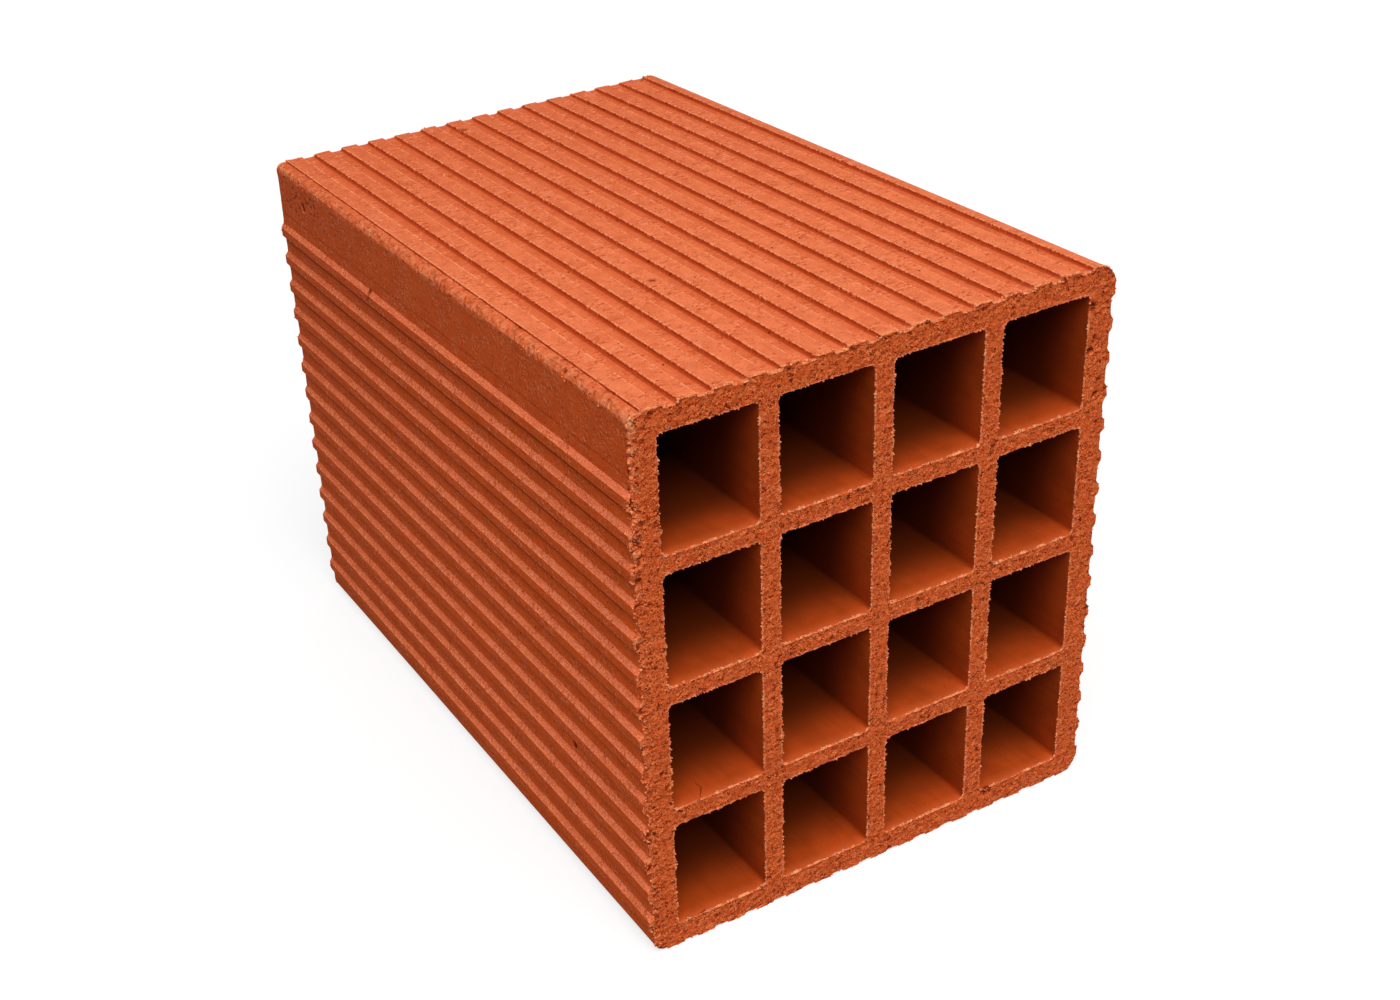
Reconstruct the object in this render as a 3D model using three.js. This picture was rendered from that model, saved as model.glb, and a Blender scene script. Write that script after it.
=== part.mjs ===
// Hollow clay block, extruded and wire-cut: 4 x 4 cells run the whole length, the two bed faces
// carry shallow grooves and the two side faces carry ribs that key the mortar or the render.
// Millimetres, +Z up. X runs across the block, Y along the cells. The origin lies at the middle
// of the bottom bed.

import * as THREE from 'three';

// ---- Driving dimensions -------------------------------------------------------------------

const width = 200; // X, over the crests of the side ribs
const length = 300; // Y, between the two cut ends
const height = 220; // Z, over the lands of the two beds

const columns = 4; // cells across the width
const rows = 4; // cells up the height
const sideWall = 12; // shell beside the cells, out to the rib crests
const bedWall = 10.2; // shell above and below the cells, out to the lands
const columnWeb = 8.2; // upright partition between two cells
const rowWeb = 7.6; // level partition between two cells
const cellRadius = 1.8; // round inner corners of a cell

const leftRadius = 4.5; // round long edges of the left side
const rightRadius = 9; // round long edges of the right side
const arris = 0.5; // softened edges of lands and ribs

const landPitch = 13; // bed lands, from one to the next
const landWidth = 7.3; // flat top of a land
const firstLand = 7.2; // from the left rib crests to the first land
const topGroove = 1.3; // grooves of the top bed, below its lands
const bottomGroove = 0.8; // grooves of the bottom bed, above its lands
const grooveDraft = 0.35; // lean of a groove wall
const cornerDrop = 0.8; // the strip left of the first land, below the lands

const ribPitch = 13.4; // side ribs, from one to the next
const ribCrest = 4; // flat crest of a rib
const ribHeight = 1.8; // crest above the face
const ribFlank = 1.8; // height taken by each sloping flank
const leftTopBand = 28; // plain strip above the first rib of the left face
const rightTopBand = 12.3; // plain strip above the first valley of the right face
const bottomBand = 9; // least plain strip below the last rib or valley

const cornerSteps = 6; // facets of a long edge or a cell corner
const arrisSteps = 2; // facets of a softened edge

// ---- Derived sizes ------------------------------------------------------------------------

const left = -width / 2;
const right = width / 2;
const cellWidth = (width - 2 * sideWall - (columns - 1) * columnWeb) / columns;
const cellHeight = (height - 2 * bedWall - (rows - 1) * rowWeb) / rows;
const ribBase = ribCrest + 2 * ribFlank;
const valleyFloor = ribPitch - ribBase;
const valleyMouth = valleyFloor + 2 * ribFlank;

// ---- Outline helpers ----------------------------------------------------------------------

// Positions from first to last, one pitch apart.
function stations(first, last, pitch) {
  const found = [];
  for (let at = first; at <= last; at += pitch) {
    found.push(at);
  }
  return found;
}

// A corner of an outline, to be rounded to a radius with some facets.
function corner(x, z, radius = arris, steps = arrisSteps) {
  return { at: new THREE.Vector2(x, z), radius, steps };
}

// How much of the edge to a neighbour a fillet may take: two fillets share an edge by their radii.
function roomTowards(here, neighbour) {
  const edge = here.at.distanceTo(neighbour.at);
  return (edge * here.radius) / (here.radius + neighbour.radius);
}

// The points that round one corner between its two neighbours.
function roundedCorner(before, here, after) {
  const toBefore = before.at.clone().sub(here.at);
  const toAfter = after.at.clone().sub(here.at);
  const room = Math.min(roomTowards(here, before), roomTowards(here, after));
  toBefore.normalize();
  toAfter.normalize();
  const opening = Math.acos(THREE.MathUtils.clamp(toBefore.dot(toAfter), -1, 1));
  const setback = Math.min(here.radius / Math.tan(opening / 2), room);
  const radius = setback * Math.tan(opening / 2);
  const inward = toBefore.clone().add(toAfter).normalize();
  const centre = here.at.clone().addScaledVector(inward, radius / Math.sin(opening / 2));
  const start = here.at.clone().addScaledVector(toBefore, setback).sub(centre);
  const end = here.at.clone().addScaledVector(toAfter, setback).sub(centre);
  const turn = Math.atan2(start.cross(end), start.dot(end));
  return Array.from({ length: here.steps + 1 }, (_, step) =>
    start.clone().rotateAround(new THREE.Vector2(), (turn * step) / here.steps).add(centre),
  );
}

// A closed outline's points, every corner rounded.
function roundedLoop(corners) {
  const count = corners.length;
  return corners.flatMap((here, index) =>
    roundedCorner(corners[(index + count - 1) % count], here, corners[(index + 1) % count]),
  );
}

// ---- The four faces of the section --------------------------------------------------------

// Lands and grooves of a bed, from left to right. rise is from a land to the groove floor: above
// zero on the bottom bed, below it on the top. The last land runs on into the rounded long edge.
function bedCorners(level, rise) {
  const floor = level + rise;
  const edge = level + Math.sign(rise) * cornerDrop;
  const starts = stations(left + firstLand, right - rightRadius - arris, landPitch);
  return starts.flatMap((start, index) => {
    const foot = index === 0 ? edge : floor;
    const climb = [corner(start - grooveDraft, foot), corner(start, level)];
    const end = start + landWidth;
    const last = index === starts.length - 1;
    return last ? climb : [...climb, corner(end, level), corner(end + grooveDraft, floor)];
  });
}

// Ribs that stand out of the left face, from the top down.
function leftRibCorners() {
  const face = left + ribHeight;
  const first = leftTopBand + ribBase / 2;
  const last = height - bottomBand - ribBase / 2;
  return stations(first, last, ribPitch).flatMap((depth) => {
    const middle = height - depth;
    return [
      corner(face, middle + ribBase / 2),
      corner(left, middle + ribCrest / 2),
      corner(left, middle - ribCrest / 2),
      corner(face, middle - ribBase / 2),
    ];
  });
}

// Valleys between the ribs of the right face, from the bottom up.
function rightValleyCorners() {
  const face = right - ribHeight;
  const first = rightTopBand + valleyMouth / 2;
  const last = height - bottomBand - valleyMouth / 2;
  return stations(first, last, ribPitch).reverse().flatMap((depth) => {
    const middle = height - depth;
    return [
      corner(right, middle - valleyMouth / 2),
      corner(face, middle - valleyFloor / 2),
      corner(face, middle + valleyFloor / 2),
      corner(right, middle + valleyMouth / 2),
    ];
  });
}

function blockOutline() {
  const leftEdge = (z) => corner(left + ribHeight, z, leftRadius, cornerSteps);
  const rightEdge = (z) => corner(right, z, rightRadius, cornerSteps);
  return roundedLoop([
    leftEdge(cornerDrop),
    ...bedCorners(0, bottomGroove),
    rightEdge(0),
    ...rightValleyCorners(),
    rightEdge(height),
    ...bedCorners(height, -topGroove).reverse(),
    leftEdge(height - cornerDrop),
    ...leftRibCorners(),
  ]);
}

// ---- The cells ----------------------------------------------------------------------------

function cellOutline(column, row) {
  const x = left + sideWall + column * (cellWidth + columnWeb);
  const z = bedWall + row * (cellHeight + rowWeb);
  return roundedLoop(
    [
      [x, z],
      [x + cellWidth, z],
      [x + cellWidth, z + cellHeight],
      [x, z + cellHeight],
    ].map(([cornerX, cornerZ]) => corner(cornerX, cornerZ, cellRadius, cornerSteps)),
  );
}

// ---- The block ----------------------------------------------------------------------------

function blockGeometry() {
  const section = new THREE.Shape(blockOutline());
  for (let row = 0; row < rows; row += 1) {
    for (let column = 0; column < columns; column += 1) {
      section.holes.push(new THREE.Path(cellOutline(column, row)));
    }
  }
  const geometry = new THREE.ExtrudeGeometry(section, { depth: length, bevelEnabled: false });
  geometry.rotateX(Math.PI / 2);
  geometry.translate(0, length / 2, 0);
  return geometry;
}

const firedClay = new THREE.MeshStandardMaterial({
  color: 0xc05a30,
  roughness: 0.92,
  metalness: 0,
});

const brick = new THREE.Mesh(blockGeometry(), firedClay);
brick.name = 'brick';

const block = new THREE.Group();
block.name = 'hollow_block';
block.add(brick);

export default block;
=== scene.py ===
"""Looks of the hollow clay block: die-drawn long faces and cells, wire-cut ends with torn rims and
crumbs, a pale floor and soft light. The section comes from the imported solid."""

import math

import bmesh
import bpy
import numpy as np
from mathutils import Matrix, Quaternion, Vector
from mathutils.geometry import delaunay_2d_cdt
from mathutils.kdtree import KDTree


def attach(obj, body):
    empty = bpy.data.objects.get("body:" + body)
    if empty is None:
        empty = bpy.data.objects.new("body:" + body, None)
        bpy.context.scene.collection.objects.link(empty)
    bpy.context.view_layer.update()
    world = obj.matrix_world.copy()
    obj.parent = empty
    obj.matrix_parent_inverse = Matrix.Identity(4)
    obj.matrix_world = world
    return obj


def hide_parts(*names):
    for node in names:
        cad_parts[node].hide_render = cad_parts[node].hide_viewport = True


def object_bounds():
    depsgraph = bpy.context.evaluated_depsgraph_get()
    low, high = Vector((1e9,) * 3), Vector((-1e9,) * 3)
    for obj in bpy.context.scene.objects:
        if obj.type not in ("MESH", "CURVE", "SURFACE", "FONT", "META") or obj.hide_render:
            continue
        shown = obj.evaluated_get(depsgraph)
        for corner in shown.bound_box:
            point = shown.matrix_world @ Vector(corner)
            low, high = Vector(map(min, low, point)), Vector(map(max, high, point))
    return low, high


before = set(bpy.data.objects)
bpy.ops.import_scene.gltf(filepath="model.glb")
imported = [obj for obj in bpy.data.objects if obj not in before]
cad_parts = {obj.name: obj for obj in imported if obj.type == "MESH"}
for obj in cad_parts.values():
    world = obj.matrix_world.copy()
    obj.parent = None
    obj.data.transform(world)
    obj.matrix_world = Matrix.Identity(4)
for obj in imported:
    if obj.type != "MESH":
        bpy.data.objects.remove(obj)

CAD_LOW, CAD_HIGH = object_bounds()
MM = 0.001  # lengths of the relief are in millimetres, times this
SEED = 7
SHARP_ANGLE = math.radians(19)
SAME_PLACE = 0.001 * MM  # points closer than this are one
ON_END = 0.01 * MM  # points closer than this to a cut end lie on it

# ---- Camera ----

PICTURE_WIDTH = 1400
PICTURE_HEIGHT = 1000
SENSOR_WIDTH = 36.0
FOCAL_LENGTH = 1828  # in pixels of the picture
OPTICAL_CENTRE = (500, 450)  # in pixels: the picture is a crop of a wider one
CAMERA_PLACE = Vector((-0.3442, -0.5838, 0.4753))
CAMERA_AZIMUTH = math.radians(-24.97)
CAMERA_ELEVATION = math.radians(27.9)
CAMERA_ROLL = math.radians(-5.15)


def new_object(name, data):
    thing = bpy.data.objects.new(name, data)
    bpy.context.scene.collection.objects.link(thing)
    return thing


def make_camera():
    lens = bpy.data.cameras.new("camera")
    lens.sensor_width = SENSOR_WIDTH
    lens.lens = FOCAL_LENGTH * SENSOR_WIDTH / PICTURE_WIDTH
    lens.shift_x = (PICTURE_WIDTH / 2 - OPTICAL_CENTRE[0]) / PICTURE_WIDTH
    lens.shift_y = (OPTICAL_CENTRE[1] - PICTURE_HEIGHT / 2) / PICTURE_WIDTH
    camera = new_object("camera", lens)
    level = math.cos(CAMERA_ELEVATION)
    x, y = math.sin(CAMERA_AZIMUTH) * level, -math.cos(CAMERA_AZIMUTH) * level
    back = Vector((x, y, math.sin(CAMERA_ELEVATION)))
    camera.rotation_mode = "QUATERNION"
    camera.rotation_quaternion = back.to_track_quat("Z", "Y") @ Quaternion((0, 0, 1), CAMERA_ROLL)
    camera.location = CAMERA_PLACE
    bpy.context.scene.camera = camera


# ---- Noise ----

AXIS_FACTORS = np.array((374761393, 668265263, 1442695041))
SEED_FACTOR = 1274126177
STIRS = ((13, 1103515245), (16, 668265263))  # shifts and factors that stir the bits
LOW_BITS = 0xFFFFFFFF
KEPT_BITS = 0xFFFF
SPOT_DRIFT = 0.42  # how far a scattered spot lies from its cell's middle at most, in cells


def hashed(cells, seed):
    """A fixed number from -1 to 1 for every whole-numbered cell."""
    mixed = (cells @ AXIS_FACTORS + seed * SEED_FACTOR) & LOW_BITS
    for shift, factor in STIRS:
        mixed = ((mixed ^ (mixed >> shift)) * factor) & LOW_BITS
    return (mixed >> 8 & KEPT_BITS) / (KEPT_BITS / 2) - 1


def noise(points, grain, seed, octaves=1):
    """Smooth noise of about -1 to 1. grain is the size of its lumps, one number or one an axis."""
    total = 0
    for octave in range(octaves):
        scaled = points / np.asarray(grain) * 2**octave
        cells = np.floor(scaled).astype(np.int64)
        part = scaled - cells
        ease = part * part * (3 - 2 * part)
        layer = 0
        for corner in np.ndindex(2, 2, 2):
            weight = np.where(np.array(corner) == 1, ease, 1 - ease).prod(axis=1)
            layer = layer + weight * hashed(cells + corner, seed + octave)
        total = total + layer / 2**octave
    return total


def scattered(points, spacing, seed):
    """Distance to the nearest of many scattered spots, and that spot's own number from 0 to 1."""
    scaled = points / spacing
    home = np.floor(scaled).astype(np.int64)
    nearest = np.full(len(points), np.inf)
    lot = np.zeros(len(points))
    for step in np.ndindex(3, 3, 3):
        cell = home + np.array(step) - 1
        shift = np.stack([hashed(cell, seed + k) for k in range(3)], axis=1)
        gap = np.linalg.norm(cell + 0.5 + SPOT_DRIFT * shift - scaled, axis=1)
        nearer = gap < nearest
        nearest = np.where(nearer, gap, nearest)
        lot = np.where(nearer, hashed(cell, seed + 3), lot)
    return nearest * spacing, (lot + 1) / 2


def fade(low, high, value):
    """0 below low and 1 above high, or the other way round where low is the greater."""
    share = np.clip((value - low) / (high - low), 0, 1)
    return share * share * (3 - 2 * share)


# ---- The section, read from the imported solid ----

def welded(node):
    """The node's points with doubles joined, and its triangles."""
    mesh = node.data
    points = np.array([v.co for v in mesh.vertices], float)
    mesh.calc_loop_triangles()
    triangles = np.array([t.vertices for t in mesh.loop_triangles])
    cells = np.round(points / SAME_PLACE).astype(np.int64)
    _, first, joined = np.unique(cells, axis=0, return_index=True, return_inverse=True)
    return points[first], joined.ravel()[triangles]


def section_loops(node):
    """The closed lines of the front end as arrays of (x, z), the outline first. Material lies on
    the same side of all."""
    points, triangles = welded(node)
    on_end = np.isclose(points[:, 1], CAD_LOW.y, atol=ON_END)
    cap = triangles[on_end[triangles].all(axis=1)]
    edges = {(a, b) for t in cap for a, b in zip(t, np.roll(t, -1))}
    after = {a: b for a, b in edges if (b, a) not in edges}
    loops = []
    while after:
        start, here = after.popitem()
        line = [start]
        while here != start:
            line.append(here)
            here = after.pop(here)
        loops.append(points[line][:, [0, 2]])
    return sorted(loops, key=lambda loop: -np.ptp(loop[:, 0]))


def unit(vectors):
    return vectors / np.linalg.norm(vectors, axis=1)[:, None]


def outward(loop):
    """Unit normals of a closed line that point out of the material."""
    step = unit(np.roll(loop, -1, axis=0) - loop)
    turned = np.stack([step[:, 1], -step[:, 0]], axis=1)
    return unit(turned + np.roll(turned, 1, axis=0))


def bends(loop):
    """Sine of the turn at each point of a closed line, above 0 at the material's outer corners."""
    step = unit(np.roll(loop, -1, axis=0) - loop)
    before = np.roll(step, 1, axis=0)
    return before[:, 0] * step[:, 1] - before[:, 1] * step[:, 0]


# ---- The mesh of the block ----

SKIN, CELL, CUT = 0, 1, 2  # material slots of the block's mesh

# Rings of points round each wall: distance from the cut end and spacing, both in millimetres.
FRONT_RINGS = ((0, 0.6), (0.55, 0.6), (1.2, 0.8), (2.2, 1.2), (3.6, 1.9), (6, 3.2), (10, 6))
FRONT_RINGS += ((17, 12),)
BACK_RINGS = ((0, 1.7), (1.6, 2.0), (4, 4), (9, 9))
BODY_STEP = 22 * MM  # between the rings of the body
BODY_SPACING = 1.0  # so wide that only the columns get points there
FRONT_GRID = 0.76 * MM  # spacing of the points on the cut faces
BACK_GRID = 2.1 * MM
FRONT_INSET = 0.45 * MM  # how far inside its rim a cut face's first ring of points lies
BACK_INSET = 0.9 * MM
JITTER = 0.25  # how far a refined point strays, in spacings
GRID_JITTER = 0.3  # the same for the cut faces' points
CLEAR = 0.35  # how near a refined point may come to a column or a ring, in spacings
GRID_CLEAR = 0.75  # how near a cut face's point may come to a rim, in spacings
WHOLE_SHARE = 1e-6  # so that a length of whole spacings isn't cut once more
CDT_GAP = 1e-5  # below which the triangulation would join points, in millimetres


class Shell:
    """Collects the points and triangles of the block's mesh."""

    def __init__(self):
        self.points = []  # places on the straight block
        self.normals = []  # out of the material
        self.bends = []  # above 0 on outer corners of the section, below 0 on inner ones
        self.count = 0
        self.triangles = []
        self.materials = []

    def add(self, points, normals, bend=0.0):
        ids = np.arange(self.count, self.count + len(points))
        self.points.append(points)
        self.normals.append(normals)
        self.bends.append(np.full(len(points), bend))
        self.count += len(points)
        return ids

    def faces(self, triangles, material):
        self.triangles.append(triangles)
        self.materials.append(np.full(len(triangles), material))


def ring_levels():
    """Places along Y of the rings on every wall, and the spacing of the points on each."""
    front = [(CAD_LOW.y + depth * MM, spacing * MM) for depth, spacing in FRONT_RINGS]
    back = [(CAD_HIGH.y - depth * MM, spacing * MM) for depth, spacing in BACK_RINGS[::-1]]
    start, end = front[-1][0], back[0][0]
    middle = np.linspace(start, end, round((end - start) / BODY_STEP) + 1)[1:-1]
    return front + [(y, BODY_SPACING) for y in middle] + back


def triangulated(flat, edges):
    """Triangles between flat points, with all the given edges."""
    points = [Vector(p) / MM for p in flat]
    places, _, found, _, _, _ = delaunay_2d_cdt(points, edges, [], 0, CDT_GAP)
    assert len(places) == len(flat)
    return np.array(found)


class Wall:
    """The wall under one line of the section, unrolled: s runs along the line, y along the block.
    Columns of points stand under the section's corners, and rings cross them."""

    def __init__(self, loop):
        self.loop = loop
        steps = np.linalg.norm(np.roll(loop, -1, axis=0) - loop, axis=1)
        self.along, self.whole = np.append(0, np.cumsum(steps)[:-1]), steps.sum()
        self.column_ys = [[] for _ in loop]
        self.free = []  # (s, y) of the points between columns
        for y, spacing in ring_levels():
            self.add_ring(y, spacing)

    def add_ring(self, y, spacing):
        for ys in self.column_ys:
            ys.append(y)
        ends = np.append(self.along[1:], self.whole)
        for low, high in zip(self.along, ends):
            parts = math.ceil((high - low) / spacing - WHOLE_SHARE)
            self.free += [(low + (high - low) * k / parts, y) for k in range(1, parts)]

    def place(self, s, y):
        """Points of the straight wall and its normals there, between columns."""
        k = np.searchsorted(self.along, s, side="right") - 1
        start, end = self.loop[k], self.loop[(k + 1) % len(self.loop)]
        step = end - start
        length = np.linalg.norm(step, axis=1)
        flat = start + step * ((s - self.along[k]) / length)[:, None]
        points = np.stack([flat[:, 0], y, flat[:, 1]], axis=1)
        across = np.stack([step[:, 1], np.zeros(len(s)), -step[:, 0]], axis=1)
        return points, across / length[:, None]

    def refine(self, spacing, wanted, rng):
        """More points where wanted(points) holds, spacing apart."""
        across = np.arange(spacing, self.whole - spacing, spacing)
        lengths = np.arange(CAD_LOW.y + spacing, CAD_HIGH.y - spacing, spacing)
        s, y = [v.ravel() for v in np.meshgrid(across, lengths)]
        s = s + rng.uniform(-JITTER, JITTER, s.shape) * spacing
        y = y + rng.uniform(-JITTER, JITTER, y.shape) * spacing
        keep = wanted(self.place(s, y)[0])
        s, y = s[keep], y[keep]
        clear = nearest(s, np.append(self.along, self.whole)) > CLEAR * spacing
        self.free += list(zip(s[clear], y[clear]))
        for (x, z), ys in zip(self.loop, self.column_ys):
            found = lengths[wanted(np.array([(x, y, z) for y in lengths]))]
            ys += list(found[nearest(found, np.array(ys)) > CLEAR * spacing])

    def build(self, shell, material):
        """Adds the wall to the shell. Returns its front and back rims: ids and (x, z) in order."""
        columns = []
        for (x, z), ys, (nx, nz), turn in zip(
            self.loop, self.column_ys, outward(self.loop), bends(self.loop)
        ):
            ys.sort()
            points = np.array([(x, y, z) for y in ys])
            columns.append(shell.add(points, np.tile((nx, 0, nz), (len(ys), 1)), turn))
        flat, ids, edges = [], [], []
        for k, s in enumerate(np.append(self.along, self.whole)):
            k %= len(columns)  # the first column also ends the unrolled wall
            first = len(flat)
            flat += [(s, y) for y in self.column_ys[k]]
            edges += [(j, j + 1) for j in range(first, len(flat) - 1)]
            ids += list(columns[k])
        free = np.array(sorted(set(self.free)))
        ids += list(shell.add(*self.place(free[:, 0], free[:, 1])))
        flat += [tuple(p) for p in free]
        ids = np.array(ids)
        shell.faces(ids[triangulated(flat, edges)][:, ::-1], material)
        return self.rim(flat, ids, CAD_LOW.y), self.rim(flat, ids, CAD_HIGH.y)

    def rim(self, flat, ids, end):
        """The points on one cut end in order along the wall: their ids and (x, z)."""
        found = sorted((s, k) for k, (s, y) in enumerate(flat) if y == end and s < self.whole)
        line = self.place(np.array([s for s, _ in found]), np.zeros(len(found)))[0]
        return ids[[k for _, k in found]], line[:, [0, 2]]


def nearest(places, others):
    """How far each place lies from the nearest of the others, all along one line."""
    return np.abs(places[:, None] - others[None]).min(axis=1)


def grid_inside(lines, spacing, rng):
    """Jittered points over a cut face, clear of its rims."""
    rims = np.concatenate(lines)
    tree = KDTree(len(rims))
    for index, point in enumerate(rims):
        tree.insert((*point, 0), index)
    tree.balance()
    low, high = rims.min(axis=0), rims.max(axis=0)
    rise = spacing * math.sqrt(3) / 2
    x, z = np.meshgrid(np.arange(low[0], high[0], spacing), np.arange(low[1], high[1], rise))
    x = x + (np.arange(len(x)) % 2)[:, None] * spacing / 2
    points = np.stack([x.ravel(), z.ravel()], axis=1)
    points = points + rng.uniform(-GRID_JITTER, GRID_JITTER, points.shape) * spacing
    points = points[in_material(points, lines)]
    clear = [tree.find((*p, 0))[2] > GRID_CLEAR * spacing for p in points]
    return points[np.array(clear)]


def in_material(points, loops):
    """Whether a level line to one side of each point crosses the loops an odd number of times."""
    order = np.argsort(points[:, 1])
    heights = points[order, 1]
    total = np.zeros(len(points), int)
    edges = [edge for loop in loops for edge in zip(loop, np.roll(loop, -1, axis=0))]
    for (x0, z0), (x1, z1) in edges:
        if z0 == z1:
            continue
        first, last = np.searchsorted(heights, (min(z0, z1), max(z0, z1)))
        spans = order[first:last]
        reach = x0 + (points[spans, 1] - z0) * (x1 - x0) / (z1 - z0)
        total[spans] += points[spans, 0] < reach
    return total % 2 == 1


def grow_cap(shell, rims, y, spacing, inset, facing, rng):
    """A cut face between its rims, with a ring of points close beside each rim."""
    rim_ids, lines = zip(*rims)
    edges, first = [], 0
    for line in lines:
        count = len(line)
        edges += [(first + k, first + (k + 1) % count) for k in range(count)]
        first += count
    out = np.concatenate([outward(line) for line in lines])
    inner = np.concatenate(lines) - out * inset
    inside = in_material(inner, lines)
    grid = grid_inside(lines, spacing, rng)
    fill = np.concatenate([inner[inside], grid])
    lean = np.concatenate([out[inside] * LIP_LEAN, np.zeros_like(grid)])
    normals = np.insert(lean, 1, math.sqrt(1 - LIP_LEAN**2) * facing, axis=1)
    added = shell.add(np.insert(fill, 1, y, axis=1), normals)
    ids = np.concatenate([*rim_ids, added])
    flat = np.concatenate([*lines, fill])
    found = triangulated(flat, edges)
    kept = ids[found[in_material(flat[found].mean(axis=1), lines)]]
    shell.faces(kept if facing < 0 else kept[:, ::-1], CUT)


# ---- Relief of the surfaces ----

FACE_BACK = 0.5 * MM  # how far inside the frame's box the cut faces lie
SKIN_BACK = 0.2 * MM  # the same for the long faces
LIP_REACH = 0.8 * MM  # how far from a cut edge its beads and burrs reach
LIP_LEAN = 0.5  # how far the marks of the lips' points lean towards their rim
END_REACH = 1.5 * MM  # how far along the walls the cut face's relief is felt
BACK_EDGE = 0.4  # how strong the back end's torn edges are beside the front's
CRUMBLY_REACH = 2.1 * MM  # how far the crumbling front left edge's crumbs reach
CRUMBLY_INSET = 1.3 * MM  # how far inside the rib crests that edge's middle lies
TOOTH_SIZE = np.array((2.3, 2.3, 1.25)) * MM  # of that edge's torn teeth
WAVE_SIZE = np.array((14, 70, 14)) * MM  # of the slow waves of the long faces
IN_SHELL = 5 * MM  # less than the outer shell's thickness
RIB_HEIGHT = 1.8 * MM  # of the ribs on the side faces
GROOVE_DEPTH = 1.3 * MM  # of the grooves in the top bed
ARRIS_GAIN = 0.8 * MM  # how much the top left long edge is squarer than it was drawn
WEAR = 0.4  # share of their height that the right face's ribs have lost
END_WEAR = 0.45  # the same at the back ends of the left face's ribs, at the most worn one
LAND_WEAR = 0.65  # the same at the back ends of the top bed's lands
END_WEAR_REACH = 5 * MM  # how far from the back end

# Bands in millimetres. The first three fade in and out between two numbers.
RIGHT_RIBS = (9, 12, 208, 211)  # heights of the right face's ribs
LEFT_RIBS = (9, 12, 191, 195)
LANDS = (-95, -92, 92, 95)  # from the first to the last land of the top bed, along X
STRIP_ACROSS = (-92.6, -94.0)  # where the rough strip beside the first land begins, along X
STRIP_UP = (214.5, 217.5)  # the same in height
TOP_STRIP = (216.5, 218)  # heights where the front end's crumbling top begins
CRUMBLY_TOP = (150, 176)  # heights where the crumbling front left edge grows stronger

# Knocks: place (x, y, z), radius and depth, in millimetres.
CHIPS = (
    (-37, -64, 219, 1.5, 1.0), (-13, 135, 219, 2.2, 0.6), (-97.5, -108, 219, 1.7, 1.1),
    (-98.5, 122, 207, 2.0, 0.8), (-99, 54, 192, 1.4, 1.1), (-99, -97, 61, 1.9, 1.0),
    (-99.5, -6, 143, 1.2, 0.8), (54, -150, 9, 2.6, 1.4), (89.5, -150, 205, 1.7, 1.2),
    (90, -150, 188, 1.3, 1.0), (94, -150, 170, 1.0, 0.8), (96, -150, 158, 0.9, 0.8),
    (-98, -150, 174, 1.5, 1.0), (-97, -150, 159, 1.2, 0.8), (-99, -150, 52, 1.8, 1.0),
    (-92, -150, 79, 1.1, 0.8), (76, -150, 219, 2.0, 0.9), (85, -150, 220, 1.6, 0.8),
)


def dents(points, spacing, radius, seed):
    """Round hollows, from 0 to 1 deep, of many sizes up to that radius."""
    gap, lot = scattered(points, spacing, seed)
    return np.clip(1 - (gap / (radius * (0.4 + 0.6 * lot))) ** 2, 0, 1) * (lot > 0.25)


def chip_depth(points):
    """Depth of the knocks at each point, in metres."""
    ragged = 1 + 0.35 * noise(points, 1.3 * MM, SEED + 60)
    deepest = np.zeros(len(points))
    for *place, radius, depth in CHIPS:
        gap = np.linalg.norm(points - np.array(place) * MM, axis=1) * ragged
        hollow = np.sqrt(np.clip(1 - (gap / (radius * MM)) ** 2, 0, 1))
        deepest = np.maximum(deepest, hollow * depth * MM)
    return deepest


def crumbly_edge(points):
    """From 0 to 1 along the crumbling front left edge."""
    gap = np.hypot(points[:, 0] - CAD_LOW.x - CRUMBLY_INSET, points[:, 1] - CAD_LOW.y)
    share = 0.3 + 0.7 * fade(*CRUMBLY_TOP, points[:, 2] / MM)
    return np.exp(-((gap / CRUMBLY_REACH) ** 2)) * share


def rough_corner(points):
    """From 0 to 1 on the rough strip beside the first land."""
    x, z = points[:, 0] / MM, points[:, 2] / MM
    return fade(*STRIP_ACROSS, x) * fade(*STRIP_UP, z)


def arris(points, normals):
    """From 0 to 1 over the rounding of the top left long edge."""
    near = (points[:, 0] < CAD_LOW.x + 8 * MM) & (points[:, 2] > CAD_HIGH.z - 8 * MM)
    return np.clip(-2 * normals[:, 0] * normals[:, 2], 0, 1) * near


def in_cells(points):
    """Whether each point lies inside the outer shell."""
    x, z = points[:, 0], points[:, 2]
    between = (x > CAD_LOW.x + IN_SHELL) & (x < CAD_HIGH.x - IN_SHELL)
    return between & (z > CAD_LOW.z + IN_SHELL) & (z < CAD_HIGH.z - IN_SHELL)


def burr_share(points):
    """How far the burrs stand at each point's nearest cut edge, in millimetres: most round the
    cells and at the front end's top."""
    x, y, z = (points / MM).T
    calm = np.maximum(fade(88, 92, np.abs(x)), fade(5, 2, z))
    return 0.5 - 0.42 * np.where(y > 0, 0.5 + 0.5 * calm, calm)


def within(band, value):
    """1 between the band's two middle numbers, and 0 outside the outer ones."""
    return fade(band[0], band[1], value) * fade(band[3], band[2], value)


def flattened(places, outermost, drawn, share):
    """Shifts that take that share off ridges of the drawn height under the outermost place."""
    middle = outermost - drawn / 2
    near = np.abs(places - middle) < 0.55 * abs(drawn)
    return np.where(near, (middle - places) * share, 0)


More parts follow.
